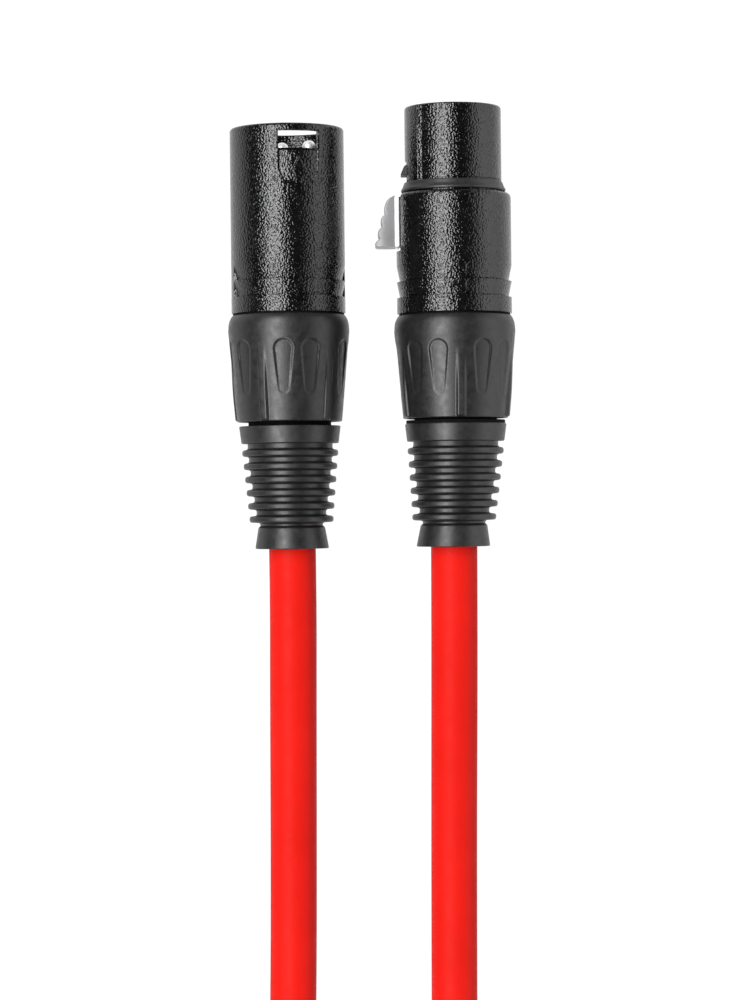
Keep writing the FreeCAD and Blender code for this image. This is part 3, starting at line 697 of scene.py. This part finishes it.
def finish_cad_nodes():
    """Better materials for the CAD pieces that stay."""
    materials = {"male_insert": INSERT_PLASTIC, "female_insert": INSERT_PLASTIC, "latch_pin": SPRING_STEEL}
    for side in ("male", "female"):
        materials[side + "_ground_spring"] = SPRING_STEEL
        materials[side + "_chuck"] = CHUCK_PLASTIC
        for wire, color in WIRE_COLORS.items():
            s = Surface(f"{side}_{wire}_sleeve", color, 0.45)
            s.bump(s.noise(1.5, 3), 0.01)
            materials[f"{side}_wire_{wire}"] = s.material
    for number in (1, 2, 3):
        materials[f"female_socket_{number}"] = CONTACT_BRASS
    for name, material in materials.items():
        mesh = NODES[name].data
        mesh.materials.clear()
        mesh.materials.append(material)


# ---- cable -----------------------------------------------------------------------------
# The leads' routes, from each boot to the hank.
MALE_ROUTE = [
    (-13.2, -36.0, 10.1), (-13.03, -46.0, 10.1), (-13.05, -60.0, 9.8), (-13.13, -86.0, 4.1), (-13.14, -106.0, 3.9),
    (-13.3, -120.0, 3.9), (-17.8, -135.4, 4.0), (-26.9, -148.4, 4.3), (-31.3, -163.6, 4.8), (-31.2, -178.0, 4.8),
]
FEMALE_ROUTE = [
    (13.77, -35.8, 10.1), (13.81, -46.0, 10.1), (13.83, -60.0, 9.8), (13.92, -86.0, 4.1), (13.97, -106.0, 3.9),
    (14.0, -118.0, 3.9), (17.7, -133.9, 5.0), (26.0, -147.5, 8.4), (31.0, -163.0, 11.9), (31.2, -178.0, 12.6),
]
INNER, OUTER = 0, 1
PASSES = [(OUTER, 0)] + [(INNER, k) for k in range(HANK_LAYERS)] + [(OUTER, k) for k in (4, 3, 2, 1)]
BEND_POINTS = 8                 # control points on each half turn
CONTROL_GROW = 1 / (0.75 + 0.25 * math.cos(math.pi / BEND_POINTS))


def hank_points():
    """Control points of the hank's turns, from the male lead's end to the female lead's."""
    near_y, far_y = HANK_NEAR_Y, HANK_NEAR_Y - HANK_STRAIGHT
    points = []
    for number, (column, layer) in enumerate(PASSES):
        r = HANK_RADII[column]
        z = TIE_THICKNESS + CABLE_D * (layer + 0.5)
        sway = 0.9 * math.sin(2.4 * layer + 0.6)
        left = [(-r, near_y - HANK_STRAIGHT * t, z) for t in (0.2, 0.5, 0.85)]
        points += left
        for k in range(BEND_POINTS):
            a = math.pi + math.pi * (k + 0.5) / BEND_POINTS
            c = r * CONTROL_GROW
            points.append((c * math.cos(a), far_y + sway + c * math.sin(a), z))
        points += [(r, far_y + HANK_STRAIGHT * t, z) for t in (0.15, 0.5, 0.8)]
        if number + 1 == len(PASSES):
            break
        next_r = HANK_RADII[PASSES[number + 1][0]]
        next_z = TIE_THICKNESS + CABLE_D * (PASSES[number + 1][1] + 0.5)
        for k in range(BEND_POINTS):
            t = (k + 0.5) / BEND_POINTS
            c = (r + (next_r - r) * smooth_step((t - 0.5) / 0.35)) * CONTROL_GROW
            rise = smooth_step((t - 0.12) / 0.38)
            points.append((c * math.cos(math.pi * t), near_y + c * math.sin(math.pi * t), z + (next_z - z) * rise))
    return points


def cable():
    """The free cable: both leads and the hank on one smooth curve."""
    points = MALE_ROUTE + hank_points() + FEMALE_ROUTE[::-1]
    curve = bpy.data.curves.new("cable", "CURVE")
    curve.dimensions = "3D"
    curve.resolution_u = 12
    curve.bevel_depth = CABLE_D / 2 * MM
    curve.bevel_resolution = 8
    curve.use_fill_caps = True
    spline = curve.splines.new("NURBS")
    spline.points.add(len(points) - 1)
    for place, (x, y, z) in zip(spline.points, points):
        place.co = (x * MM, y * MM, z * MM, 1)
    spline.order_u = 3
    spline.use_endpoint_u = True
    spline.use_smooth = True
    curve.materials.append(JACKET)
    cord = add_object("cable", curve)
    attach(cord, ROOT)
    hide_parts("male_lead", "female_lead", "cable_hank")
    return cord


def tie(side):
    """Hook-and-loop strap round one side of the hank, with its free end lapped on the outside."""
    inner, outer = HANK_RADII[INNER] - CABLE_D / 2, HANK_RADII[OUTER] + CABLE_D / 2
    t, top = TIE_THICKNESS, TIE_THICKNESS + HANK_LAYERS * CABLE_D
    path = eased([(inner, t, 3.2), (outer, t, 3.2), (outer, top, 3.2), (inner, top, 3.2)], 8)
    middle, half, steps = HANK_NEAR_Y - HANK_STRAIGHT / 2, TIE_WIDTH / 2, 12
    count, row = len(path), steps + 1
    verts, faces = [], []
    for layer in range(2):
        for k, (x, z) in enumerate(path):
            along = (Vector(path[(k + 1) % count]) - Vector(path[k - 1])).normalized()
            for j in range(row):
                y = middle - half + 2 * half * j / steps
                verts.append((side * (x + along.y * t * layer), y, z - along.x * t * layer))
    skin = count * row
    for k in range(count):
        here, after = k * row, (k + 1) % count * row
        for j in range(steps):
            faces.append((here + j, after + j, after + j + 1, here + j + 1))
            faces.append((skin + here + j + 1, skin + after + j + 1, skin + after + j, skin + here + j))
        for j in (0, steps):
            faces.append((here + j, after + j, skin + after + j, skin + here + j))
    name = "tie_right" if side > 0 else "tie_left"
    strap = new_piece(name + "_strap", verts, faces, WEBBING, ROOT)
    x0, x1 = sorted((side * (outer + t), side * (outer + 2 * t)))
    lap = beam(name + "_lap", x0, x1, middle - half, middle + half, t + LAP_FOOT, t + LAP_TOP, 0, WEBBING,
               Matrix.Identity(4), 0.2)
    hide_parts(name)
    return [strap, lap]


# ---- stage -----------------------------------------------------------------------------
def floor():
    """Wide floor that is white by itself, so that nothing casts a shadow on it."""
    h = FLOOR_HALF_M
    mesh = bpy.data.meshes.new("floor")
    mesh.from_pydata([(-h, -h, 0), (h, -h, 0), (h, h, 0), (-h, h, 0)], [], [(0, 1, 2, 3)])
    material = bpy.data.materials.new("pale_floor")
    material.use_nodes = True
    shader = material.node_tree.nodes["Principled BSDF"]
    shader.inputs["Base Color"].default_value = (0.02, 0.02, 0.02, 1)
    shader.inputs["Roughness"].default_value = 1.0
    shader.inputs["Specular IOR Level"].default_value = 0.0
    shader.inputs["Emission Color"].default_value = (1, 1, 1, 1)
    shader.inputs["Emission Strength"].default_value = 1.02
    mesh.materials.append(material)
    ground = add_object("floor", mesh)


def soft_box(name, from_vertical, distance, width, length, radiance):
    """Area light on an arc over the object, aimed at the connectors. The angle is in degrees."""
    light = bpy.data.lights.new(name, "AREA")
    light.shape = "RECTANGLE"
    light.size, light.size_y = length, width
    light.energy = radiance * math.pi * width * length
    lamp = add_object(name, light)
    angle = math.radians(from_vertical)
    away = Vector((math.sin(angle), 0, math.cos(angle)))
    target = Vector((0, -0.03, 0.01))
    lamp.location = target + away * distance
    lamp.rotation_euler = away.to_track_quat("Z", "Y").to_euler()


def studio():
    """A long strip light at the left, a low fill at the right and a faint grey surround."""
    soft_box("key_strip", -27, distance=0.9, width=0.39, length=1.8, radiance=11.0)
    soft_box("right_fill", 74, distance=0.9, width=0.8, length=1.8, radiance=1.9)
    world = bpy.data.worlds.new("studio")
    world.use_nodes = True
    world.node_tree.nodes["Background"].inputs["Color"].default_value = (0.9, 0.9, 0.92, 1)
    world.node_tree.nodes["Background"].inputs["Strength"].default_value = 0.06
    bpy.context.scene.world = world
    bpy.context.scene.view_settings.view_transform = "Standard"


def camera():
    """Straight above, half a metre from the connectors' axes, looking down."""
    lens = bpy.data.cameras.new("camera")
    lens.lens = LENS_MM
    lens.sensor_width = SENSOR_MM
    view = add_object("camera", lens)
    view.location = [c * MM for c in CAMERA_AT]
    bpy.context.scene.camera = view


male_shell()
female_shell()
nose_ring()
for make in (clamping_nut, strain_relief, cable_end):
    make("male")
    make("female")
male_pins()
latch()
latch_spring()
finish_cad_nodes()
cord = cable()
ties = tie(-1) + tie(1)
floor()
studio()
camera()
